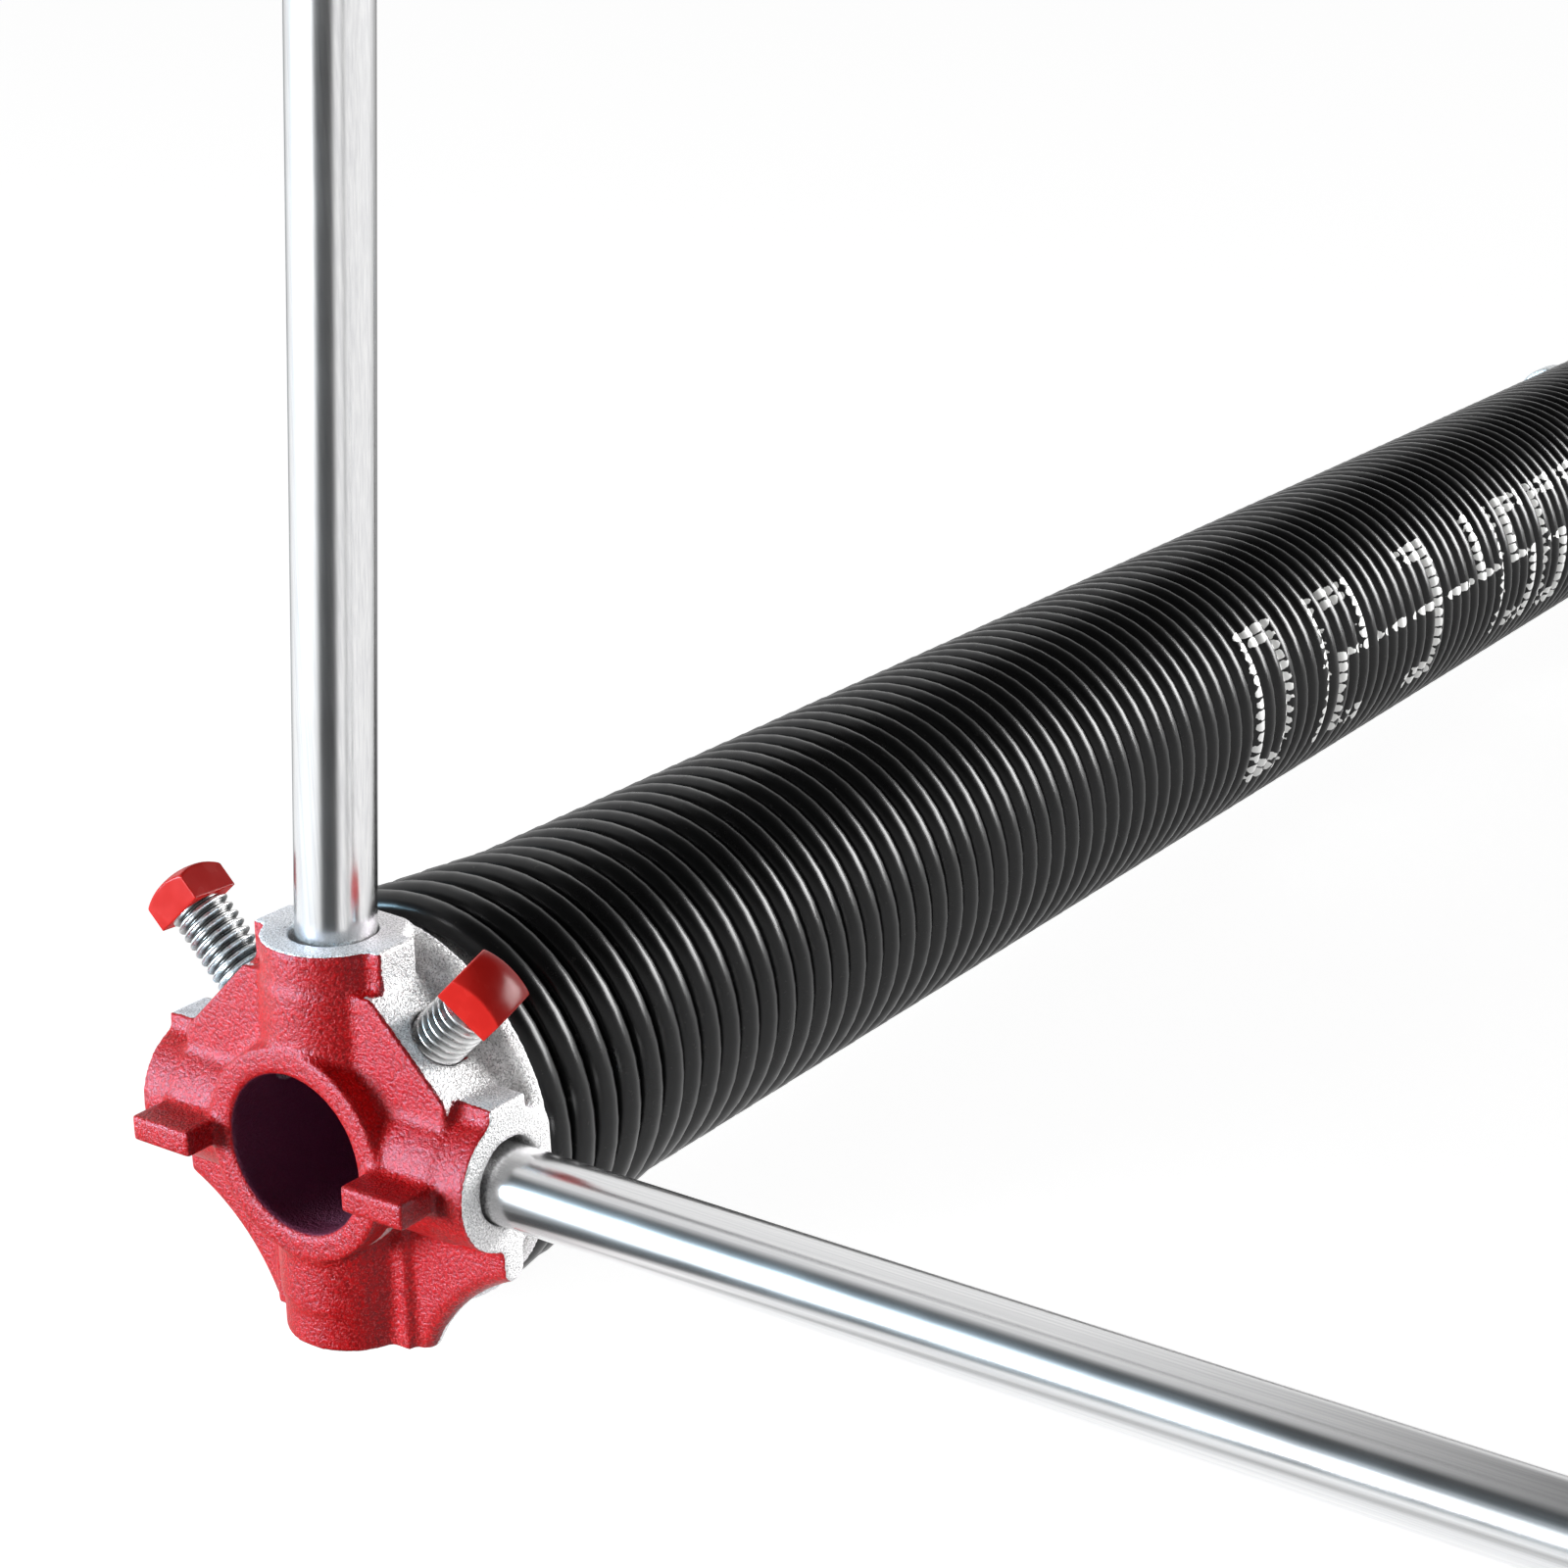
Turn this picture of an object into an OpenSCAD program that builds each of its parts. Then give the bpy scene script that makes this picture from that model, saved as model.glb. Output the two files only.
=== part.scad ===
/* [Spring] */
// Diameter of the spring wire
wire_d = 5.26; // [4.4:0.02:6.4]
// Inside diameter of the coil along its body
coil_id = 50.8; // [46:0.2:60]
// Gap between neighbouring turns along the body
turn_gap = 0.24; // [0.2:0.01:1.2]
// Number of turns from end to end, both gripped ends counted
turn_count = 108; // [40:1:120]
// Turns at each end that are pulled apart on a cone
grip_turns = 5; // [3:1:7]
// Gap between neighbouring turns on a cone
grip_turn_gap = 1.24; // [1.1:0.02:2.7]
// Turns at each end that the cone spreads wider
flare_turns = 6; // [3:1:8]
// How much the first and last turns grow in radius on their cone
grip_flare = 3; // [1:0.1:4]
// Where the wire starts, in degrees from the right socket over the top
wire_start = 50; // [0:1:359]

/* [Shaft] */
// Diameter of the door shaft that runs through the spring
shaft_d = 25.4; // [19:0.1:26]
// Radial room between the shaft and both cones
shaft_room = 0.4; // [0.2:0.05:0.5]

/* [Winding cone] */
// Reach of each socket from the shaft axis to its open end
socket_reach = 33.6; // [32:0.2:44]
// Depth of each socket
socket_depth = 16; // [12:0.5:17]
// Wall of metal round each socket
socket_wall = 4.4; // [3:0.1:5.5]
// Step between the thick root of a socket and its outer part
root_step = 0.45; // [0.2:0.05:0.8]
// Wall of the hub ring at the front
hub_wall = 4.6; // [3:0.1:6]
// How far the hub ring stands forward of the socket axes
hub_front = 12.2; // [12:0.1:18]
// Half the width of the square shoulders beside a socket
shoulder_w = 13; // [12.6:0.1:16]
// Half the depth of those shoulders along the shaft
shoulder_t = 4.2; // [3:0.1:5.5]
// How much wider the strips beside the lower socket are
strip_more = 1.3; // [0.5:0.1:3]
// How much thinner those strips are on each face
strip_less = 0.4; // [0.2:0.1:1.5]
// How far the upper webs stand forward of the socket axes
web_front = 7; // [5:0.1:8]
// Reach of the webs sideways and upwards
web_reach = 27; // [25:0.1:30]
// Distance from the shaft axis to the slanted flats
flat_reach = 28.4; // [27.4:0.1:31]
// Thickness of the lower gussets
gusset_t = 4.6; // [3:0.1:7]
// How far a gusset runs past the axis of the socket at its end
gusset_reach = 16.8; // [15.5:0.1:20]
// How far the edge of a gusset curves in
gusset_sag = 2.2; // [1:0.1:4]
// Width of each driving lug
lug_w = 12.1; // [8:0.1:14]
// Height of each driving lug
lug_h = 4.3; // [3:0.1:7]
// How far the lugs stand forward of the hub ring
lug_out = 6.5; // [3:0.1:10]
// Distance from the shaft axis to the near side of each lug
lug_start = 16; // [15:0.1:18]
// Distance from the socket axes to the back of the flange
flange_back = 9.8; // [9.4:0.1:14]
// Thickness of the flange that the coil starts behind
flange_t = 2.4; // [2:0.1:4]
// How far the flange stands out past the body of the coil at its front edge
flange_over = 2.54; // [1.5:0.02:5]
// How much wider the flange is at its back edge
flange_rake = 0.8; // [0.2:0.1:2]

/* [Set screws] */
// Thread diameter of the set screws
screw_d = 9.5; // [6:0.1:10]
// Length of each set screw below its head
screw_l = 24; // [20:0.1:24.4]
// How far the left screw is backed out, from the flat to the underside of its head
screw_out_left = 14.2; // [12:0.1:18]
// How far the right screw is backed out
screw_out_right = 10.4; // [9.8:0.1:18]
// How far the screws sit behind the socket axes
screw_back = 1; // [0:0.1:2]
// Turn of the left head about its own axis
screw_turn_left = 8; // [0:1:45]
// Turn of the right head about its own axis
screw_turn_right = 14; // [0:1:45]
// Width across the square head
head_w = 9.6; // [9.5:0.1:13]
// Height of the square head at its corners
head_h = 4.4; // [4:0.1:8]
// Height of the domed end above the corners
dome_h = 2.2; // [1:0.1:2.5]
// Chamfer at the point of a set screw
screw_tip = 1.2; // [0.4:0.1:2]

/* [Winding bars] */
// Diameter of the winding bars
bar_d = 12.7; // [10:0.1:13]
// Length of the winding bars
bar_l = 457; // [200:1:600]
// Chamfer at both ends of a bar
bar_chamfer = 0.8; // [0.2:0.1:2]

/* [Stationary cone] */
// Distance between the two anchor bolts
bolt_span = 85.7; // [84:0.1:100]
// Diameter of the anchor bolt holes
bolt_hole_d = 10.3; // [8:0.1:12]
// Metal round each bolt hole
bolt_wall = 5.8; // [4:0.1:8]
// Thickness of the mounting flange
anchor_t = 9; // [6:0.1:14]

/* [Hidden] */
// Roundness of full circles, of the wire and of its turns
round_fn = 96;
wire_fn = 40;
turn_fn = 72;
// Clearances between neighbours
seat_gap = 0.35;
grip_gap = 0.35;
thread_gap = 0.1;
socket_gap = 0.65;
rest_gap = 0.05;
// Room for cuts that run out of a face
cut = 1;
// The sockets end this far short of the flange's back
behind_gap = 0.25;
// Depth inside a socket's wall at which a lug is rooted
lug_root = 7;
// Chamfer at the inner end of a barrel
barrel_end = 1;
// Height that the ears lose to the round metal at the bolts
ear_step = 1;
bore_r = shaft_d / 2 + shaft_room;
bore_chamfer = 0.65;
hub_r = bore_r + hub_wall;
socket_r = bar_d / 2 + socket_gap;
boss_r = socket_r + socket_wall;
socket_floor = socket_reach - socket_depth;
// Strips beside the lower socket: wider and thinner than the shoulders
strip_w = shoulder_w + strip_more;
strip_t = shoulder_t - strip_less;

// Coil: half turns that meet end to end, each tilted about its own middle
coil_r = (coil_id + wire_d) / 2;
coil_pitch = wire_d + turn_gap;
grip_pitch = wire_d + grip_turn_gap;
half_turns = 2 * turn_count;
grip_halves = 2 * grip_turns;
flare_halves = 2 * flare_turns;
flare_step = grip_flare / flare_halves;
coil_start = flange_back + seat_gap + wire_d / 2;
coil_span = 2 * grip_turns * grip_pitch + (turn_count - 2 * grip_turns) * coil_pitch;
coil_end = coil_start + coil_span;
function half_r(i) = round(1e4
    * (coil_r + flare_step * max(0, flare_halves - i, i - (half_turns - 1 - flare_halves)))) / 1e4;
function half_pitch(i) =
    (i < grip_halves || i >= half_turns - grip_halves ? grip_pitch : coil_pitch) / 2;
function half_tilt(i) = asin(half_pitch(i) / 2 / half_r(i));
// Places and tilts go in two steps, one rounded and one very small, so that ends meet exactly
function coarse(x) = round(x * 1e3) / 1e3;
function fine(x) = x - coarse(x);
function coarse_tilt(i) = acos(round(cos(half_tilt(i)) * 1e6) / 1e6);
function fine_tilt(i) =
    half_tilt(i) - atan2(round(sin(coarse_tilt(i)) * 1e7) / 1e7, cos(coarse_tilt(i)));
function half_span(i) = half_r(i) * cos(half_tilt(i));
function side(i) = i % 2 == 0 ? 1 : -1;
// Middle of every half turn: place across the axis, place along it, and its number
middles = [for (i = 0, x = half_span(0), y = coil_start; i < half_turns;
    x = x - 2 * side(i) * half_span(i), y = y + half_pitch(i), i = i + 1)
    [x - side(i) * half_span(i), y + half_pitch(i) / 2, i]];

// Cone barrels inside the coil, wide at the flange and down to the coil's own bore
barrel_l = grip_turns * grip_pitch + (flare_turns - grip_turns) * coil_pitch;
barrel_r = coil_id / 2 - grip_gap;
barrel_root_r = barrel_r + grip_flare;
flange_r = coil_r + wire_d / 2 + flange_over;
anchor_front = coil_end + wire_d / 2 + seat_gap;
anchor_back = anchor_front + anchor_t;

// Bars
bar_lean = atan(2 * (socket_gap - rest_gap) / socket_depth);
bar_lift = bar_d / 2 * sin(bar_lean) + rest_gap;
gusset_edge = gusset_t / 2;
// Centre of the curved edge of a gusset, on the diagonal between two sockets
gusset_chord = (socket_reach - gusset_reach) * sqrt(2) / 2;
gusset_r = (gusset_chord ^ 2 + gusset_sag ^ 2) / (2 * gusset_sag);
gusset_centre = (socket_reach + gusset_reach) / 2 + (gusset_r - gusset_sag) / sqrt(2);

// Turns what is built along Z to run along the shaft
module along_shaft() {
    rotate([-90, 0, 0]) children();
}

// A disc or ring from one place to another along the shaft
module shaft_disc(r, from, to) {
    translate([0, from, 0])
        rotate([-90, 0, 0]) cylinder(r = r, h = to - from, $fn = round_fn);
}

// Shape seen along the shaft, drawn with Z up, from one place to another
module shaft_plate(from, to) {
    translate([0, to, 0])
        rotate([90, 0, 0]) linear_extrude(to - from) children();
}

// A socket points along Z here and is turned to its side
module socket_turn(angle) {
    rotate([0, angle, 0]) children();
}

// Round outside of one socket with its thicker root
module socket_outside() {
    cylinder(r = boss_r, h = socket_reach, $fn = round_fn);
    cylinder(r = boss_r + root_step, h = web_reach, $fn = round_fn);
}

// Square shoulder on one side of a socket
module shoulder(width, half_t, from) {
    translate([0, -half_t, from])
        cube([width, 2 * half_t, socket_reach - from]);
}

// Web between the top socket and the two side sockets, with its slanted flats
module upper_webs() {
    slant = flat_reach * sqrt(2) - web_reach;
    shaft_plate(-web_front, flange_back - flange_t / 2)
        polygon([[-web_reach, 0], [-web_reach, slant], [-slant, web_reach],
            [slant, web_reach], [web_reach, slant], [web_reach, 0]]);
}

// Thin web between the bottom socket and the right one, its free edge round and hollow
module gusset() {
    depth = gusset_centre * sqrt(2) - gusset_r - bore_r;
    intersection() {
        translate([gusset_centre, 0, -gusset_centre])
            rotate([90, 0, 0])
                rotate_extrude($fn = round_fn) {
                    translate([gusset_r + gusset_edge, 0]) circle(r = gusset_edge, $fn = wire_fn);
                    translate([gusset_r + gusset_edge, -gusset_edge])
                        square([depth, gusset_t]);
                }
        translate([0, -gusset_t, -socket_reach])
            cube([socket_reach, 2 * gusset_t, socket_reach]);
    }
}

// Driving lug that stands forward of a side socket
module lug() {
    translate([lug_start, -hub_front - lug_out, -lug_h / 2])
        cube([lug_w, hub_front + lug_out - lug_root, lug_h]);
}

// Flange that the end of the coil butts against, wider on the coil's side
module flange(thickness) {
    along_shaft()
        cylinder(r1 = flange_r, r2 = flange_r + flange_rake, h = thickness, $fn = round_fn);
}

// Barrel that the coil grips, from the flange inwards
module barrel() {
    along_shaft()
        rotate_extrude($fn = round_fn)
            polygon([[bore_r - cut, -cut], [barrel_root_r, -cut], [barrel_root_r, 0],
                [barrel_r, barrel_l], [barrel_r - barrel_end, barrel_l + barrel_end],
                [bore_r - cut, barrel_l + barrel_end]]);
}

// Bore for the shaft, opened a little at its front edge
module shaft_bore(from, to) {
    shaft_disc(bore_r, from - cut, to + cut);
    translate([0, from, 0]) along_shaft()
        translate([0, 0, -cut])
            cylinder(r1 = bore_r + bore_chamfer + cut, r2 = bore_r - cut,
                h = bore_chamfer + 2 * cut, $fn = round_fn);
}

module winding_cone() {
    color("crimson")
        difference() {
            union() {
                shaft_disc(hub_r, -hub_front, flange_back - flange_t / 2);
                translate([0, flange_back - flange_t, 0]) flange(flange_t);
                translate([0, flange_back, 0]) barrel();
                intersection() {
                    union() {
                        for (angle = [0:90:270]) socket_turn(angle) socket_outside();
                        for (m = [0, 1]) mirror([m, 0, 0]) {
                            shoulder(shoulder_w, shoulder_t, 0);
                            rotate([0, 90, 0]) mirror([1, 0, 0])
                                shoulder(shoulder_w, shoulder_t, 0);
                            rotate([0, 180, 0]) shoulder(strip_w, strip_t, 0);
                            gusset();
                        }
                    }
                    translate([-2 * socket_reach, -2 * socket_reach, -2 * socket_reach])
                        cube([4 * socket_reach, 2 * socket_reach + flange_back - behind_gap,
                            4 * socket_reach]);
                }
                upper_webs();
                for (m = [0, 1]) mirror([m, 0, 0]) lug();
            }
            shaft_bore(-hub_front, flange_back + barrel_l + barrel_end);
            for (angle = [0:90:270]) socket_turn(angle)
                translate([0, 0, socket_floor])
                    cylinder(r = socket_r, h = socket_depth + cut, $fn = round_fn);
            for (angle = [-45, 45]) socket_turn(angle) translate([0, screw_back, 0])
                cylinder(d = screw_d + 2 * thread_gap, h = flat_reach + cut, $fn = round_fn);
        }
}

// Set screw standing on its point along Z, head up
module set_screw() {
    dome_r = (head_w ^ 2 / 2 + dome_h ^ 2) / (2 * dome_h);
    color("silver")
        translate([0, 0, -screw_l])
            rotate_extrude($fn = round_fn)
                polygon([[0, 0], [screw_d / 2 - screw_tip, 0], [screw_d / 2, screw_tip],
                    [screw_d / 2, screw_l + cut], [0, screw_l + cut]]);
    color("red")
        intersection() {
            translate([-head_w / 2, -head_w / 2, 0]) cube([head_w, head_w, head_h + dome_h]);
            translate([0, 0, head_h + dome_h - dome_r]) sphere(r = dome_r, $fn = round_fn);
        }
}

module set_screw_left() {
    socket_turn(-45) translate([0, screw_back, flat_reach + screw_out_left])
        rotate([0, 0, screw_turn_left]) set_screw();
}

module set_screw_right() {
    socket_turn(45) translate([0, screw_back, flat_reach + screw_out_right])
        rotate([0, 0, screw_turn_right]) set_screw();
}

module spring_coil() {
    color("black")
        along_shaft() rotate([0, 0, -wire_start])
            for (s = middles)
                translate([coarse(s[0]), 0, coarse(s[1])]) translate([fine(s[0]), 0, fine(s[1])])
                    rotate([0, 0, s[2] % 2 * 180])
                        rotate([0, coarse_tilt(s[2]), 0]) rotate([0, fine_tilt(s[2]), 0])
                            rotate_extrude(angle = 180, $fn = turn_fn)
                                translate([half_r(s[2]), 0]) circle(d = wire_d, $fn = wire_fn);
}

module stationary_cone() {
    color("gainsboro")
        difference() {
            union() {
                translate([0, anchor_back, 0]) mirror([0, 1, 0]) flange(anchor_t);
                translate([0, anchor_front, 0]) mirror([0, 1, 0]) barrel();
                for (m = [0, 1]) mirror([m, 0, 0]) {
                    translate([bolt_span / 2, 0, 0])
                        shaft_disc(bolt_hole_d / 2 + bolt_wall, anchor_front, anchor_back);
                    translate([0, anchor_front, ear_step - bolt_hole_d / 2 - bolt_wall])
                        cube([bolt_span / 2, anchor_t,
                            bolt_hole_d + 2 * (bolt_wall - ear_step)]);
                }
            }
            shaft_disc(bore_r, anchor_front - barrel_l - barrel_end - cut, anchor_back + cut);
            for (x = [-bolt_span / 2, bolt_span / 2])
                translate([x, 0, 0])
                    shaft_disc(bolt_hole_d / 2, anchor_front - cut, anchor_back + cut);
        }
}

// Plain steel bar along Z from its lower end
module winding_bar() {
    r = bar_d / 2;
    color("lightsteelblue")
        rotate_extrude($fn = round_fn)
            polygon([[0, 0], [r - bar_chamfer, 0], [r, bar_chamfer], [r, bar_l - bar_chamfer],
                [r - bar_chamfer, bar_l], [0, bar_l]]);
}

// The upright bar leans until the socket's wall stops it at the mouth and at the floor
module winding_bar_top() {
    pivot = socket_reach - socket_depth / 2;
    translate([0, 0, pivot])
        rotate([0, bar_lean, 0])
            translate([0, 0, (socket_floor + bar_lift - pivot) / cos(bar_lean)])
                winding_bar();
}

// The level bar lies on the lower wall of its socket
module winding_bar_right() {
    translate([socket_floor + rest_gap, 0, rest_gap - socket_gap])
        rotate([0, 90, 0]) winding_bar();
}

winding_cone();
set_screw_left();
set_screw_right();
spring_coil();
stationary_cone();
winding_bar_top();
winding_bar_right();
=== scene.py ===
import math

import bpy
import numpy as np
from mathutils import Matrix, Vector


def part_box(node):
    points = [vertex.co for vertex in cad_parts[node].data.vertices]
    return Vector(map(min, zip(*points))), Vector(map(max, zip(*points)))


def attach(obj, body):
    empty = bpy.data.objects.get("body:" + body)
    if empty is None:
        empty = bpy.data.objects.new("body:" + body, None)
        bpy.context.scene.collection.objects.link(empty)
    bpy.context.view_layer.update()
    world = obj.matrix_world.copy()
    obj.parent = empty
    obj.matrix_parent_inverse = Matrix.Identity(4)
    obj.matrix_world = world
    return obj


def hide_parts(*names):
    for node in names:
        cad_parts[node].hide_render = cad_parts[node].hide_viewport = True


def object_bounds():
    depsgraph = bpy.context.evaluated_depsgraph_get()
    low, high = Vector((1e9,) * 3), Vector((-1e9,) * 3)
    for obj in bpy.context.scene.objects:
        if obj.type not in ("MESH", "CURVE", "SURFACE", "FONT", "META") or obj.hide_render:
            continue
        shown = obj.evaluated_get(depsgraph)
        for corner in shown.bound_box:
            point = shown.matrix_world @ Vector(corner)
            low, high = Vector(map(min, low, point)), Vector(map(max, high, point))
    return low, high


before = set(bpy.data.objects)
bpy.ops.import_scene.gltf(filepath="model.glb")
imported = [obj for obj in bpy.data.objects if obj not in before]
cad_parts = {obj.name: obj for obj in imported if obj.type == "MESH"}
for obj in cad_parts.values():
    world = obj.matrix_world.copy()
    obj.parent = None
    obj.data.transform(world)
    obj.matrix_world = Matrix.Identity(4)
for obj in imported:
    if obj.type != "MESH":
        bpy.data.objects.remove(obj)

# ---------------------------------------------------------------- camera and studio
# A pale studio floor under the spring, with the camera in front and to the right of
# the winding cone, a little above the winding bars.
cad_box = [list(corner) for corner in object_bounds()]
root = "root"

camera_data = bpy.data.cameras.new("studio_camera")
camera_data.lens = 67.675
camera_data.sensor_width = 36
camera_data.clip_start = 0.01
camera_data.clip_end = 100
camera = bpy.data.objects.new("studio_camera", camera_data)
camera.location = (0.2974, -0.3033, 0.2019)
camera.rotation_euler = [math.radians(angle) for angle in (70.812, 0.6741, 34.8172)]
bpy.context.scene.collection.objects.link(camera)
bpy.context.scene.camera = camera
bpy.context.scene.view_settings.view_transform = "Standard"


def new_material(name):
    """An empty material, with its nodes and links."""
    material = bpy.data.materials.new(name)
    material.use_nodes = True
    material.node_tree.nodes.clear()
    return material, material.node_tree.nodes, material.node_tree.links


def surface(nodes, links, shader):
    """Sends a shader to the material's output."""
    out = nodes.new("ShaderNodeOutputMaterial")
    links.new(shader, out.inputs["Surface"])


def object_place(nodes):
    """The place on the piece itself, in metres."""
    return nodes.new("ShaderNodeTexCoord").outputs["Object"]


def math_node(nodes, links, operation, *values):
    """A Math node fed by sockets or plain numbers; returns its output."""
    node = nodes.new("ShaderNodeMath")
    node.operation = operation
    for slot_number, value in enumerate(values):
        if isinstance(value, (int, float)):
            node.inputs[slot_number].default_value = value
        else:
            links.new(value, node.inputs[slot_number])
    return node.outputs[0]


def spread(nodes, links, value, low, high, to_low, to_high):
    """Maps a value from one range to another, held at both ends."""
    node = nodes.new("ShaderNodeMapRange")
    node.inputs["From Min"].default_value = low
    node.inputs["From Max"].default_value = high
    node.inputs["To Min"].default_value = to_low
    node.inputs["To Max"].default_value = to_high
    links.new(value, node.inputs["Value"])
    return node.outputs[0]


def tint(nodes, links, amount, low, high):
    """A colour between two colours."""
    node = nodes.new("ShaderNodeMix")
    node.data_type = "RGBA"
    for socket, colour in (("A", low), ("B", high)):
        if isinstance(colour, tuple):
            node.inputs[socket].default_value = (*colour, 1)
        else:
            links.new(colour, node.inputs[socket])
    links.new(amount, node.inputs["Factor"])
    return node.outputs["Result"]


def seen_directly(nodes, links):
    """1 for rays that show the backdrop itself: straight, mirrored or through glass."""
    path = nodes.new("ShaderNodeLightPath")
    shown = math_node(nodes, links, "MAXIMUM",
                      path.outputs["Is Camera Ray"], path.outputs["Is Glossy Ray"])
    return math_node(nodes, links, "MAXIMUM", shown, path.outputs["Is Transmission Ray"])


# The air is white at the horizon and where the camera looks. In mirrored rays the
# studio's ceiling is dark, with one wide white panel over the left and the back. The
# panel's edges are an axis, where it starts and is full, and its part of the white.
room_light = 0.12
overhead_light = 0.3
ceiling_dark = 0.07
ceiling_edge = (0.24, 0.56)
panel_edges = (("X", -0.2, -0.42, 1), ("Y", -0.5, -0.26, 1.2))
world = bpy.data.worlds.new("studio_air")
world.use_nodes = True
nodes, links = world.node_tree.nodes, world.node_tree.links
nodes.clear()
lit = nodes.new("ShaderNodeBackground")
lit.inputs["Color"].default_value = (1, 1, 1, 1)
shown = nodes.new("ShaderNodeBackground")
shown.inputs["Strength"].default_value = 1
direction = nodes.new("ShaderNodeTexCoord")
sky = nodes.new("ShaderNodeSeparateXYZ")
links.new(direction.outputs["Generated"], sky.inputs[0])
panel = 1
for axis, outside, inside, white in panel_edges:
    panel = math_node(nodes, links, "MULTIPLY", panel,
                      spread(nodes, links, sky.outputs[axis], outside, inside, 0, white))
ceiling = spread(nodes, links, sky.outputs["Z"], *ceiling_edge, 1, ceiling_dark)
ceiling = math_node(nodes, links, "MAXIMUM", ceiling, panel)
path = nodes.new("ShaderNodeLightPath")
ceiling = math_node(nodes, links, "MAXIMUM", ceiling, path.outputs["Is Camera Ray"])
links.new(ceiling, shown.inputs["Color"])
links.new(spread(nodes, links, sky.outputs["Z"], 0.1, 0.6, room_light,
                 room_light * overhead_light), lit.inputs["Strength"])
blend = nodes.new("ShaderNodeMixShader")
links.new(seen_directly(nodes, links), blend.inputs["Fac"])
links.new(lit.outputs[0], blend.inputs[1])
links.new(shown.outputs[0], blend.inputs[2])
out = nodes.new("ShaderNodeOutputWorld")
links.new(blend.outputs[0], out.inputs["Surface"])
bpy.context.scene.world = world

# The floor is white paper under the lowest point. Where bright metal and wet paint
# mirror it, it is painted dark in strips round the shaft: painted reflections of dark
# card, seen only in mirrored rays. Each strip has the headings, in degrees, where it
# starts, is full, is still full and ends, and how dark it is. One more painted dark
# patch, also seen only in mirrored rays, lies close under the winding cone.
floor_size = 12
floor_gap = 0.0005
floor_glow = 0.95
mirror_glow = 0.25
mirror_dark_depth = 0.93
mirror_dark_strips = ((-96, -84, -46, -35, 1), (-22, -16, -15, -9, 0.6), (64, 108, 150, 178, 0.8))
patch_reach = (0.07, 0.17)
patch_depth = 0.85
patch_edges = (("Y", -0.02, 0.02), ("X", 0.01, 0.035))
bpy.ops.object.select_all(action="DESELECT")
bpy.ops.mesh.primitive_plane_add(size=floor_size, location=(0, 0, cad_box[0][2] - floor_gap))
floor = bpy.context.object
floor.name = "studio_floor"
material, nodes, links = new_material("floor_paper")
place = object_place(nodes)
axes = nodes.new("ShaderNodeSeparateXYZ")
links.new(place, axes.inputs[0])
heading = math_node(nodes, links, "DEGREES", math_node(
    nodes, links, "ARCTAN2", axes.outputs["Y"], axes.outputs["X"]))
dark = 0
for starts, full, still_full, ends, depth in mirror_dark_strips:
    strip = math_node(nodes, links, "MULTIPLY",
                      spread(nodes, links, heading, starts, full, 0, depth),
                      spread(nodes, links, heading, still_full, ends, 1, 0))
    dark = math_node(nodes, links, "MAXIMUM", dark, strip)
from_cone = nodes.new("ShaderNodeVectorMath")
from_cone.operation = "LENGTH"
links.new(place, from_cone.inputs[0])
patch = spread(nodes, links, from_cone.outputs["Value"], *patch_reach, patch_depth, 0)
for axis, full, ends in patch_edges:
    patch = math_node(nodes, links, "MULTIPLY", patch,
                      spread(nodes, links, axes.outputs[axis], full, ends, 1, 0))
dark = math_node(nodes, links, "MAXIMUM", dark, patch)
# Painted reflection: the strips and the patch darken the paper only in mirrored rays.
mirrored = nodes.new("ShaderNodeLightPath").outputs["Is Glossy Ray"]
dark = math_node(nodes, links, "MULTIPLY", dark, mirrored)
lit_part = math_node(nodes, links, "SUBTRACT", 1,
                     math_node(nodes, links, "MULTIPLY", dark, mirror_dark_depth))
shown_glow = math_node(nodes, links, "MULTIPLY", seen_directly(nodes, links), floor_glow)
shown_glow = math_node(nodes, links, "ADD", shown_glow,
                       math_node(nodes, links, "MULTIPLY", mirrored, mirror_glow))
paper = nodes.new("ShaderNodeBsdfDiffuse")
links.new(tint(nodes, links, dark, (0.55, 0.55, 0.55), (0.05, 0.05, 0.05)),
          paper.inputs["Color"])
glow = nodes.new("ShaderNodeEmission")
glow.inputs["Color"].default_value = (1, 1, 1, 1)
links.new(math_node(nodes, links, "MULTIPLY", shown_glow, lit_part), glow.inputs["Strength"])
both = nodes.new("ShaderNodeAddShader")
links.new(paper.outputs[0], both.inputs[0])
links.new(glow.outputs[0], both.inputs[1])
surface(nodes, links, both.outputs[0])
floor.data.materials.append(material)


def softbox(name, place, aim, size, power):
    """A flat lamp at a place, turned to what it is aimed at."""
    lamp_data = bpy.data.lights.new(name, "AREA")
    lamp_data.shape = "RECTANGLE"
    lamp_data.size, lamp_data.size_y = size
    lamp_data.energy = power
    lamp = bpy.data.objects.new(name, lamp_data)
    lamp.location = place
    lamp.rotation_euler = (Vector(aim) - Vector(place)).to_track_quat("-Z", "Y").to_euler()
    bpy.context.scene.collection.objects.link(lamp)
    return lamp


# The key and a weak fill light the whole spring. The strip along the coil and the cool
# card at the left are only there to be mirrored.
softbox("key_lamp", (-0.86, -1.6, 0.14), (0, 0, 0), (0.9, 0.6), 47)
softbox("fill_lamp", (1.6, -0.6, 0.5), (0, 0.1, 0), (1.0, 1.0), 0.3)
coil_strip = softbox("coil_strip", (1.04, 1.62, 0.64), (0, 0.15, 0), (1.3, 0.72), 62)
coil_strip.visible_diffuse = False
cool_card = softbox("cool_card", (-1.2, -1.5, 0.22), (0, 0, 0), (0.8, 0.62), 88)
cool_card.data.color = (0.42, 0.76, 1)
cool_card.visible_diffuse = False

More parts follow.
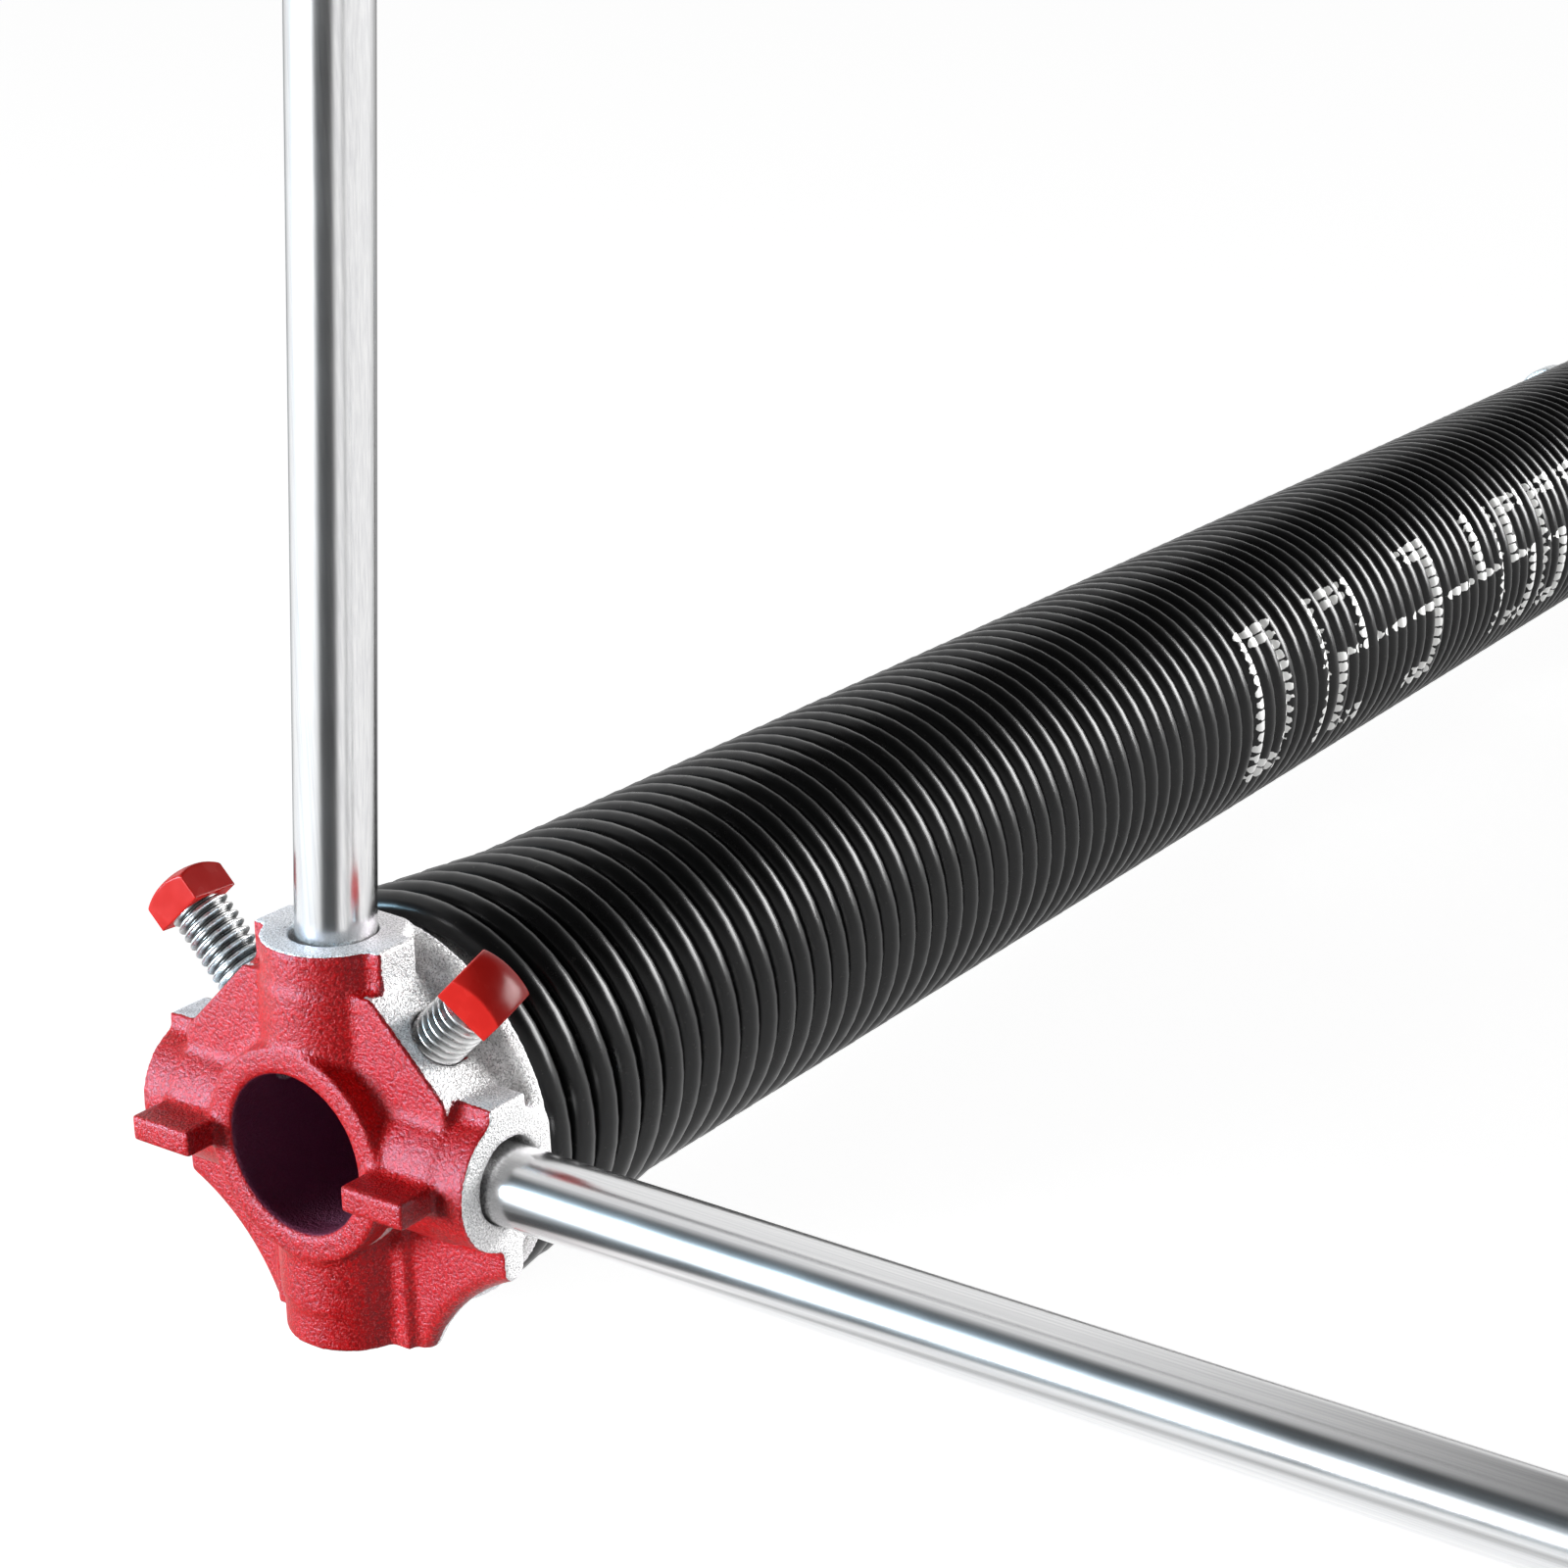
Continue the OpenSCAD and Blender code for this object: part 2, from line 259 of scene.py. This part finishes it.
# ---------------------------------------------------------------- spring coil
# Oil-tempered wire wound right-handed into a close coil. The turns at both ends are
# spread and pulled apart on the cones. A thin black coat and oil keep it dark, and the
# size is stamped along it in white ink dots, here as a plain row of figures.
wire_r = 0.00263
turn_count = 108
coil_r = 0.02803
coil_pitch = 0.0055
end_turns = 5
end_pitch = 0.0065
flare_turns = 6
flare = 0.003
start_turn = math.radians(50)
steps_a_turn = 48


def coil_radius(turn):
    """Radius of the wire's centre line, that many turns from the start."""
    from_end = min(turn, turn_count - turn)
    return coil_r + flare * max(0, 1 - from_end / flare_turns)


def coil_place(turn):
    """Place of the wire's centre line along the shaft."""
    first = min(turn, end_turns)
    last = max(0, turn - (turn_count - end_turns))
    return coil_start + end_pitch * (first + last) + coil_pitch * (turn - first - last)


def alone(piece):
    """Selects one piece and makes it active."""
    bpy.ops.object.select_all(action="DESELECT")
    piece.select_set(True)
    bpy.context.view_layer.objects.active = piece


def settle(piece, node, slot, *materials):
    """Gives a finished piece its materials, hangs it on the root and hides the CAD node it stands
    for.
    """
    piece.data.materials.clear()
    for material in materials:
        piece.data.materials.append(material)
    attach(piece, root)
    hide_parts(node)


coil_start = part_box("spring_coil")[0].y + wire_r
wire = bpy.data.curves.new("spring_wire", "CURVE")
wire.dimensions = "3D"
wire.twist_mode = "MINIMUM"
line = wire.splines.new("POLY")
point_count = turn_count * steps_a_turn + 1
line.points.add(point_count - 1)
for i in range(point_count):
    turn = i / steps_a_turn
    angle = start_turn - 2 * math.pi * turn
    radius = coil_radius(turn)
    x, z = radius * math.cos(angle), radius * math.sin(angle)
    line.points[i].co = (x, coil_place(turn), z, 1)
wire.bevel_depth = wire_r
wire.bevel_resolution = 6
wire.use_fill_caps = True
coil = bpy.data.objects.new("oiled_coil", wire)
bpy.context.scene.collection.objects.link(coil)
alone(coil)
bpy.ops.object.convert(target="MESH")
coil = bpy.context.object
bpy.ops.object.shade_smooth_by_angle(angle=math.radians(50))


def noise(nodes, links, place, scale, detail=2, roughness=0.5):
    """A noise pattern of that many waves a metre; returns its value."""
    node = nodes.new("ShaderNodeTexNoise")
    node.inputs["Scale"].default_value = scale
    node.inputs["Detail"].default_value = detail
    node.inputs["Roughness"].default_value = roughness
    links.new(place, node.inputs["Vector"])
    return node.outputs["Fac"]


def relief(nodes, links, height, depth, strength=1):
    """Bumps from a height pattern; returns the turned normal."""
    node = nodes.new("ShaderNodeBump")
    node.inputs["Strength"].default_value = strength
    node.inputs["Distance"].default_value = depth
    links.new(height, node.inputs["Height"])
    return node.outputs["Normal"]


def radius_of(nodes, links, one, other):
    """Distance from an axis, from the two places across it."""
    squares = math_node(nodes, links, "ADD", math_node(nodes, links, "POWER", one, 2),
                        math_node(nodes, links, "POWER", other, 2))
    return math_node(nodes, links, "SQRT", squares)


# The ink head sprays dots on a grid of columns along the shaft and rows round it. A
# figure is up to seven strokes of dots, four columns wide and fourteen rows high. Each
# stroke has its middle column and row, and how far it reaches to both sides of them.
ink_start = 0.2585
figure_step = 0.0209
column_step = 0.0044
row_step = math.radians(4.9)
ink_bottom = math.radians(-24.5)
dot_scale = 2.3
dot_wobble = 0.15
dot_blot = 0.25
crest_share = 0.15
figure_cells = 16
strokes = {
    "top": (1.5, 12.5, 1.6, 0.6), "middle": (1.5, 7, 1.6, 0.1), "foot": (1.5, 0.5, 1.6, 0.6),
    "upper_left": (0, 10, 0.1, 3.1), "upper_right": (3, 10, 0.1, 3.1),
    "lower_left": (0, 3, 0.1, 3.1), "lower_right": (3, 3, 0.1, 3.1)}
stroke_figures = {
    "top": "02356789", "middle": "2345689-", "foot": "0235689", "upper_left": "045689",
    "upper_right": "01234789", "lower_left": "0268", "lower_right": "013456789"}
figures = "012-3-4567"

material, nodes, links = new_material("oiled_spring_wire")
place = object_place(nodes)
axes = nodes.new("ShaderNodeSeparateXYZ")
links.new(place, axes.inputs[0])
x, y, z = (axes.outputs[name] for name in "XYZ")
turned = math_node(nodes, links, "ARCTAN2", z, x)
row = math_node(nodes, links, "DIVIDE",
                math_node(nodes, links, "SUBTRACT", turned, ink_bottom), row_step)
along = math_node(nodes, links, "DIVIDE",
                  math_node(nodes, links, "SUBTRACT", y, ink_start), figure_step)
figure_number = math_node(nodes, links, "FLOOR", along)
column = math_node(nodes, links, "MULTIPLY",
                   math_node(nodes, links, "FRACT", along), figure_step / column_step)
column = math_node(nodes, links, "SUBTRACT", column, 0.5)
wander = noise(nodes, links, place, 420, 1)
column = math_node(nodes, links, "ADD", column,
                   spread(nodes, links, wander, 0.3, 0.7, -dot_wobble, dot_wobble))

# A dot is a round spot in its cell, its edge blotted a little.
near_column = math_node(nodes, links, "ROUND", column)
near_row = math_node(nodes, links, "ROUND", row)
blot = noise(nodes, links, place, 900, 2)
blot = spread(nodes, links, blot, 0.3, 0.7, -dot_blot, dot_blot)
for place_in, nearest in ((column, near_column), (row, near_row)):
    off = math_node(nodes, links, "SUBTRACT", place_in, nearest)
    off = math_node(nodes, links, "POWER", math_node(nodes, links, "MULTIPLY", off, dot_scale), 2)
    blot = math_node(nodes, links, "ADD", blot, off)
dot_on = math_node(nodes, links, "LESS_THAN", blot, 1)

# Each stroke is sprayed where its cells lie and where a ramp over the row of figures says
# that the figure has it.
figure_share = math_node(nodes, links, "DIVIDE",
                         math_node(nodes, links, "ADD", figure_number, 1), figure_cells)
sprayed = 0
for name, (mid_column, mid_row, half_columns, half_rows) in strokes.items():
    across = math_node(nodes, links, "COMPARE", near_column, mid_column, half_columns)
    up = math_node(nodes, links, "COMPARE", near_row, mid_row, half_rows)
    chooser = nodes.new("ShaderNodeValToRGB")
    ramp = chooser.color_ramp
    ramp.interpolation = "CONSTANT"
    ramp.elements[0].position = 0
    ramp.elements[0].color = (0, 0, 0, 1)
    ramp.elements.remove(ramp.elements[1])
    shown_before = False
    for number, figure in enumerate(figures + " "):
        shown = figure in stroke_figures[name]
        if shown != shown_before:
            stop = ramp.elements.new((number + 0.5) / figure_cells)
            stop.color = (shown, shown, shown, 1)
            shown_before = shown
    links.new(figure_share, chooser.inputs[0])
    stroke = math_node(nodes, links, "MULTIPLY", across, up)
    stroke = math_node(nodes, links, "MULTIPLY", stroke, chooser.outputs["Color"])
    sprayed = math_node(nodes, links, "MAXIMUM", sprayed, stroke)
crest = math_node(nodes, links, "GREATER_THAN", radius_of(nodes, links, x, z),
                  coil_r + crest_share * wire_r)
ink = math_node(nodes, links, "MULTIPLY", sprayed, dot_on)
ink = math_node(nodes, links, "MULTIPLY", ink, crest)

oil = noise(nodes, links, place, 60, 3)
scuff = spread(nodes, links, noise(nodes, links, place, 700, 3, 0.65), 0.64, 0.7, 0, 1)
coat = nodes.new("ShaderNodeBsdfPrincipled")
blacks = tint(nodes, links, oil, (0.004, 0.004, 0.0045), (0.01, 0.01, 0.011))
blacks = tint(nodes, links, math_node(nodes, links, "MULTIPLY", scuff, 0.12),
              blacks, (0.25, 0.24, 0.23))
links.new(tint(nodes, links, ink, blacks, (0.8, 0.8, 0.79)), coat.inputs["Base Color"])
links.new(math_node(nodes, links, "MULTIPLY", ink, 0.7), coat.inputs["Metallic"])
gloss = spread(nodes, links, oil, 0.3, 0.7, 0.25, 0.32)
gloss = math_node(nodes, links, "ADD", gloss, math_node(nodes, links, "MULTIPLY", ink, 0.4))
links.new(gloss, coat.inputs["Roughness"])
coat.inputs["Specular IOR Level"].default_value = 0.28
links.new(relief(nodes, links, ink, 0.00004), coat.inputs["Normal"])
surface(nodes, links, coat.outputs[0])
settle(coil, "spring_coil", "spring_wire", material)

# ---------------------------------------------------------------- winding cone
# One aluminium die casting: hub with four bar sockets, webs, gussets, two driving lugs
# and a flange. Red paint is sprayed on its front after the ends and flats are dressed,
# so those and all that lies behind stay bare, grainy metal.
paint_edge = -0.0075
paint_back = 0.003
end_face = 0.0329
socket_mouth_r = 0.0075
socket_floor = 0.0165
bore_inside_r = 0.01325
bore_edge = 0.0002
spray_lean = 0.15
end_lean = 0.62
lean_blur = 0.4
end_skin = 0.0006
back_blur = 0.0015
edge_blur = 0.0008


def dressed(node, name):
    """A copy of a CAD node, its loose triangles joined up and its curves shaded smooth."""
    piece = bpy.data.objects.new(name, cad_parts[node].data.copy())
    bpy.context.scene.collection.objects.link(piece)
    alone(piece)
    bpy.ops.mesh.customdata_custom_splitnormals_clear()
    bpy.ops.object.mode_set(mode="EDIT")
    bpy.ops.mesh.select_all(action="SELECT")
    bpy.ops.mesh.remove_doubles(threshold=0.00002)
    bpy.ops.object.mode_set(mode="OBJECT")
    bpy.ops.object.shade_smooth_by_angle(angle=math.radians(35))
    return piece


def finished(piece, kind, **settings):
    """Adds one modifier, sets it and applies it."""
    alone(piece)
    modifier = piece.modifiers.new("finish", kind)
    for setting, value in settings.items():
        setattr(modifier, setting, value)
    bpy.ops.object.modifier_apply(modifier=modifier.name)


def vertex_values(piece):
    """Places and outward directions of all of a piece's vertices, as two arrays."""
    places = np.empty(len(piece.data.vertices) * 3)
    facing = np.empty_like(places)
    piece.data.vertices.foreach_get("co", places)
    piece.data.vertex_normals.foreach_get("vector", facing)
    return places.reshape(-1, 3), facing.reshape(-1, 3)


def cast_skin(piece, grain, rounds, root_rounds, full_root=0.12, spreads=4):
    """Turns machined corners into cast ones: one closed skin, its edges eased and its
    inner corners filled more. A corner that turns in by full_root of the grain is filled
    fully, and the filling spreads that many rows out from it."""
    finished(piece, "REMESH", mode="VOXEL", voxel_size=grain)
    mesh = piece.data
    places, facing = vertex_values(piece)
    ends = np.empty(len(mesh.edges) * 2, dtype=np.int64)
    mesh.edges.foreach_get("vertices", ends)
    first, second = ends.reshape(-1, 2).T
    count = np.bincount(first, minlength=len(places)) + np.bincount(second, minlength=len(places))

    def around(values):
        """The mean of each vertex's neighbours."""
        total = np.bincount(first, values[second], len(places))
        total += np.bincount(second, values[first], len(places))
        return total / count

    hollow = sum((around(places[:, axis]) - places[:, axis]) * facing[:, axis] for axis in range(3))
    hollow = np.clip(hollow / grain / full_root, 0, 1)
    for _ in range(spreads):
        hollow = np.maximum(hollow, around(hollow))
    group = piece.vertex_groups.new(name="roots")
    for index in np.flatnonzero(hollow > 0.05):
        group.add([int(index)], float(min(1, hollow[index])), "REPLACE")
    finished(piece, "SMOOTH", factor=0.5, iterations=root_rounds, vertex_group="roots")
    finished(piece, "SMOOTH", factor=0.5, iterations=rounds)
    piece.vertex_groups.clear()
    bpy.ops.object.shade_smooth()


def vertex_mask(piece, name, values):
    """Keeps one number from 0 to 1 on every vertex, for the material."""
    layer = piece.data.attributes.new(name, "FLOAT", "POINT")
    layer.data.foreach_set("value", np.clip(values, 0, 1).astype(np.float32))


def past(distance, blur):
    """From 0 to 1 across a blurred edge, a half on the edge itself."""
    return 0.5 + distance / blur


def casting_metal(nodes, links, place, light):
    """Bare cast aluminium with its open grain: colour, roughness and height. Its colours are scaled
    by light, for darker copies that stand as painted shade.
    """
    grain = noise(nodes, links, place, 2500, 2, 0.6)
    specks = noise(nodes, links, place, 4400, 1)
    colour = tint(nodes, links, spread(nodes, links, grain, 0.36, 0.6, 0, 1),
                  (0.6 * light, 0.6 * light, 0.595 * light),
                  (0.87 * light, 0.87 * light, 0.865 * light))
    colour = tint(nodes, links, spread(nodes, links, specks, 0.57, 0.66, 0, 0.7),
                  colour, (0.14, 0.14, 0.14))
    rough = spread(nodes, links, grain, 0.3, 0.7, 0.72, 0.5)
    height = math_node(nodes, links, "ADD", grain, math_node(nodes, links, "MULTIPLY", specks, 0.4))
    return colour, rough, height


cone = dressed("winding_cone", "cast_winding_cone")
cast_skin(cone, 0.0005, 8, 24)
finished(cone, "DECIMATE", ratio=0.72)
places, facing = vertex_values(cone)
aside, upward = np.abs(places[:, 0]), np.abs(places[:, 2])
reach = np.maximum(aside, upward)
outward = np.where(aside > upward, np.abs(facing[:, 0]), np.abs(facing[:, 2]))
from_socket_axis = np.hypot(np.minimum(aside, upward), places[:, 1])
sprayed = past(-facing[:, 1] - spray_lean, lean_blur)
sprayed = np.minimum(sprayed, past(paint_back - places[:, 1], back_blur))
sprayed = np.maximum(sprayed, past(paint_edge - places[:, 1], edge_blur))
dressed_end = np.where(reach > end_face - end_skin, past(end_lean - outward, lean_blur), 1)
in_socket = np.where((from_socket_axis < socket_mouth_r) & (reach > socket_floor), 0, 1)
vertex_mask(cone, "paint", np.minimum(np.minimum(sprayed, dressed_end), in_socket))

material, nodes, links = new_material("red_paint_casting")
place = object_place(nodes)
bare_colour, bare_rough, bare_height = casting_metal(nodes, links, place, 1)
mask = nodes.new("ShaderNodeAttribute")
mask.attribute_name = "paint"
rag = spread(nodes, links, noise(nodes, links, place, 1300, 2), 0.3, 0.7, -0.16, 0.16)
painted = spread(nodes, links, math_node(nodes, links, "ADD", mask.outputs["Fac"], rag),
                 0.44, 0.54, 0, 1)
peel = noise(nodes, links, place, 1750, 3, 0.6)
specks = noise(nodes, links, place, 2800, 1)
cloud = noise(nodes, links, place, 55, 2)
reds = tint(nodes, links, spread(nodes, links, peel, 0.35, 0.65, 0, 1),
            (0.36, 0.002, 0.002), (0.8, 0.005, 0.006))
reds = tint(nodes, links, spread(nodes, links, specks, 0.57, 0.64, 0, 0.5),
            reds, (0.97, 0.15, 0.16))
reds = tint(nodes, links, spread(nodes, links, cloud, 0.35, 0.65, 0, 0.25),
            reds, (0.62, 0.008, 0.01))
axes = nodes.new("ShaderNodeSeparateXYZ")
links.new(place, axes.inputs[0])
from_shaft = radius_of(nodes, links, axes.outputs["X"], axes.outputs["Z"])
# Painted shade: inside the bore the casting is coloured dark purple and kept from metal, standing
# for the dark inside of the hollow hub.
bore_painted_shade = spread(nodes, links, from_shaft, bore_inside_r, bore_inside_r + bore_edge, 1, 0)
colours = tint(nodes, links, painted, bare_colour, reds)
colours = tint(nodes, links, bore_painted_shade, colours, (0.22, 0.055, 0.12))
skin = nodes.new("ShaderNodeBsdfPrincipled")
links.new(colours, skin.inputs["Base Color"])
metal = math_node(nodes, links, "MULTIPLY", math_node(nodes, links, "SUBTRACT", 1, painted), 0.9)
links.new(math_node(nodes, links, "MULTIPLY", metal,
                    math_node(nodes, links, "SUBTRACT", 1, bore_painted_shade)), skin.inputs["Metallic"])
rough = nodes.new("ShaderNodeMix")
rough.data_type = "FLOAT"
links.new(painted, rough.inputs["Factor"])
links.new(bare_rough, rough.inputs["A"])
links.new(spread(nodes, links, peel, 0.3, 0.7, 0.28, 0.4), rough.inputs["B"])
links.new(rough.outputs["Result"], skin.inputs["Roughness"])
skin.inputs["Specular IOR Level"].default_value = 0.4
skin.inputs["Specular Tint"].default_value = (0.9, 0.78, 0.92, 1)
heights = nodes.new("ShaderNodeMix")
heights.data_type = "FLOAT"
links.new(painted, heights.inputs["Factor"])
links.new(bare_height, heights.inputs["A"])
links.new(math_node(nodes, links, "ADD", spread(nodes, links, peel, 0.3, 0.7, 0, 0.4), 0.6),
          heights.inputs["B"])
links.new(relief(nodes, links, heights.outputs["Result"], 0.0003, 1), skin.inputs["Normal"])
surface(nodes, links, skin.outputs[0])
settle(cone, "winding_cone", "red_casting", material)

# ---------------------------------------------------------------- set screws
# Two square-headed steel screws, 3/8 in with sixteen threads to the inch, zinc plated.
# Their heads are dipped in glossy red. They clamp the cone to the shaft.
screw_r = 0.00475
thread_step = 0.0015875
thread_depth = 0.00095
screw_length = 0.024
screw_tip = 0.0012
head_w = 0.0096
head_h = 0.0044
dome_h = 0.0022
screw_back = 0.001
sides_round = 56
joined_within = 0.00001
cut_room = 0.0000001
head_grain = 0.0002
screw_places = {"left": (-45, 0.0426, 8), "right": (45, 0.0388, 14)}


def threaded_shank(name):
    """A right-handed thread turned from one profile, cut flat at both ends, its point eased."""
    bpy.ops.object.select_all(action="DESELECT")
    bpy.ops.mesh.primitive_plane_add(size=0.001)
    shank = bpy.context.object
    shank.name = name
    profile = [(0, 0), (0.1, 0.06), (0.3, 0.76), (0.4, 0.96), (0.5, 1), (0.6, 0.96), (0.7, 0.76),
               (0.9, 0.06), (1, 0)]
    lowest = -2 * thread_step
    shank.data.clear_geometry()
    shank.data.from_pydata(
        [(screw_r - thread_depth * (1 - high), 0, lowest + share * thread_step)
         for share, high in profile],
        [(i, i + 1) for i in range(len(profile) - 1)], [])
    rounds = math.ceil(screw_length / thread_step) + 4
    finished(shank, "SCREW", angle=2 * math.pi, screw_offset=thread_step, iterations=rounds,
             steps=sides_round, render_steps=sides_round, use_merge_vertices=True,
             merge_threshold=joined_within)
    bpy.ops.object.mode_set(mode="EDIT")
    bpy.ops.mesh.select_all(action="SELECT")
    bpy.ops.mesh.remove_doubles(threshold=joined_within)
    bpy.ops.mesh.select_all(action="SELECT")
    bpy.ops.mesh.bisect(plane_co=(0, 0, 0), plane_no=(0, 0, 1), use_fill=True,
                        clear_inner=True, threshold=cut_room)
    bpy.ops.mesh.select_all(action="SELECT")
    bpy.ops.mesh.bisect(plane_co=(0, 0, screw_length + head_h / 4), plane_no=(0, 0, 1),
                        use_fill=True, clear_outer=True, threshold=cut_room)
    bpy.ops.mesh.select_all(action="SELECT")
    bpy.ops.mesh.normals_make_consistent(inside=False)
    bpy.ops.object.mode_set(mode="OBJECT")
    # Keeps how deep each vertex lies in the thread, for the painted shade in its grooves.
    depths = [screw_r - math.hypot(vertex.co.x, vertex.co.y) for vertex in shank.data.vertices]
    vertex_mask(shank, "groove_shade", np.array(depths) / thread_depth)
    for vertex in shank.data.vertices:
        most = screw_r - screw_tip + vertex.co.z
        now = math.hypot(vertex.co.x, vertex.co.y)
        if now > most:
            vertex.co.x *= most / now
            vertex.co.y *= most / now
    shank.data.transform(Matrix.Translation((0, 0, -screw_length)))
    alone(shank)
    bpy.ops.object.shade_smooth_by_angle(angle=math.radians(60))
    return shank


def domed_head(name):
    """A square head, its end turned to a dome, all its edges softened by the dip."""
    bpy.ops.object.select_all(action="DESELECT")
    bpy.ops.mesh.primitive_cube_add(size=1, location=(0, 0, (head_h + dome_h) / 2),
                                    scale=(head_w, head_w, head_h + dome_h))
    head = bpy.context.object
    head.name = name
    bpy.ops.object.transform_apply(location=True, rotation=True, scale=True)
    dome_r = (head_w ** 2 / 2 + dome_h ** 2) / (2 * dome_h)
    bpy.ops.object.select_all(action="DESELECT")
    bpy.ops.mesh.primitive_uv_sphere_add(segments=96, ring_count=64, radius=dome_r,
                                         location=(0, 0, head_h + dome_h - dome_r))
    ball = bpy.context.object
    finished(head, "BOOLEAN", operation="INTERSECT", solver="EXACT", object=ball)
    bpy.data.objects.remove(ball)
    finished(head, "REMESH", mode="VOXEL", voxel_size=head_grain)
    finished(head, "SMOOTH", factor=0.5, iterations=7)
    bpy.ops.object.shade_smooth()
    return head


material, nodes, links = new_material("zinc_thread")
place = object_place(nodes)
plate = noise(nodes, links, place, 900, 3)
zinc = nodes.new("ShaderNodeBsdfPrincipled")
# Painted shade: the thread is darkened towards grey down in its grooves.
groove_shade = nodes.new("ShaderNodeAttribute")
groove_shade.attribute_name = "groove_shade"
sheen = tint(nodes, links, spread(nodes, links, plate, 0.35, 0.65, 0, 1),
             (0.62, 0.62, 0.62), (0.78, 0.78, 0.78))
links.new(tint(nodes, links, spread(nodes, links, groove_shade.outputs["Fac"], 0.15, 0.8, 0, 1), sheen,
               (0.14, 0.14, 0.14)), zinc.inputs["Base Color"])
zinc.inputs["Metallic"].default_value = 1
links.new(spread(nodes, links, plate, 0.3, 0.7, 0.24, 0.34), zinc.inputs["Roughness"])
surface(nodes, links, zinc.outputs[0])
zinc_thread = material

material, nodes, links = new_material("red_dipped_head")
place = object_place(nodes)
pooled = noise(nodes, links, place, 260, 2)
dip = nodes.new("ShaderNodeBsdfPrincipled")
links.new(tint(nodes, links, spread(nodes, links, pooled, 0.35, 0.65, 0, 1), (0.6, 0.022, 0.018),
               (0.68, 0.03, 0.024)), dip.inputs["Base Color"])
links.new(spread(nodes, links, pooled, 0.3, 0.7, 0.22, 0.3), dip.inputs["Roughness"])
dip.inputs["Specular IOR Level"].default_value = 0.1
# Painted light: a faint red glow brightens the heads, though they are no lamp.
dip.inputs["Emission Color"].default_value = (0.9, 0.02, 0.015, 1)
dip.inputs["Emission Strength"].default_value = 0.16
links.new(relief(nodes, links, pooled, 0.00004), dip.inputs["Normal"])
surface(nodes, links, dip.outputs[0])
red_dip = material

for side, (lean, seat, turn) in screw_places.items():
    shank = threaded_shank("shank_" + side)
    shank.data.materials.append(zinc_thread)
    head = domed_head("square_screw_" + side)
    head.data.materials.append(red_dip)
    bpy.ops.object.select_all(action="DESELECT")
    shank.select_set(True)
    head.select_set(True)
    bpy.context.view_layer.objects.active = head
    bpy.ops.object.join()
    head.data.transform(Matrix.Rotation(math.radians(lean), 4, "Y")
                        @ Matrix.Translation((0, screw_back, seat))
                        @ Matrix.Rotation(math.radians(turn), 4, "Z"))
    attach(head, root)
    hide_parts("set_screw_" + side)

# ---------------------------------------------------------------- stationary cone
# The far end's casting, bolted to the wall bracket over the door. Its tapered barrel
# fills the last turns of the coil. It isn't painted.
anchor = dressed("stationary_cone", "cast_stationary_cone")
cast_skin(anchor, 0.00065, 5, 12)
material, nodes, links = new_material("bare_cast_aluminium")
place = object_place(nodes)
# Painted shade: this casting's bare metal is a darker copy, 0.8 as bright, so it glares less under
# the coil strip.
colour, rough, height = casting_metal(nodes, links, place, 0.8)
cast = nodes.new("ShaderNodeBsdfPrincipled")
links.new(colour, cast.inputs["Base Color"])
links.new(rough, cast.inputs["Roughness"])
cast.inputs["Metallic"].default_value = 0.9
links.new(relief(nodes, links, height, 0.00016, 0.9), cast.inputs["Normal"])
surface(nodes, links, cast.outputs[0])
settle(anchor, "stationary_cone", "bare_casting", material)

# ---------------------------------------------------------------- winding bars
# Half-inch bright drawn steel rods, cut square with a small chamfer. They stand loose
# in two of the cone's sockets while the spring is wound.
material, nodes, links = new_material("drawn_bar_steel")
mask = nodes.new("ShaderNodeAttribute")
mask.attribute_name = "drawn"
stretch = nodes.new("ShaderNodeMapping")
stretch.inputs["Scale"].default_value = (1, 1, 0.004)
links.new(mask.outputs["Vector"], stretch.inputs["Vector"])
lines = noise(nodes, links, stretch.outputs[0], 2600, 3, 0.6)
stain = noise(nodes, links, mask.outputs["Vector"], 40, 3)
steel = nodes.new("ShaderNodeBsdfPrincipled")
links.new(tint(nodes, links, spread(nodes, links, lines, 0.3, 0.7, 0, 1), (0.57, 0.57, 0.58),
               (0.69, 0.69, 0.69)), steel.inputs["Base Color"])
steel.inputs["Metallic"].default_value = 1
links.new(spread(nodes, links, stain, 0.3, 0.7, 0.18, 0.24), steel.inputs["Roughness"])
surface(nodes, links, steel.outputs[0])
for side, flat in (("top", (0, 1)), ("right", (2, 1))):
    bar = dressed("winding_bar_" + side, "steel_bar_" + side)
    places, facing = vertex_values(bar)
    middle = (places.max(axis=0) + places.min(axis=0)) / 2
    along = 2 if side == "top" else 0
    drawn = np.stack([places[:, flat[0]] - middle[flat[0]], places[:, flat[1]],
                      places[:, along]], axis=1)
    layer = bar.data.attributes.new("drawn", "FLOAT_VECTOR", "POINT")
    layer.data.foreach_set("vector", drawn.astype(np.float32).ravel())
    settle(bar, "winding_bar_" + side, "bar_steel", material)
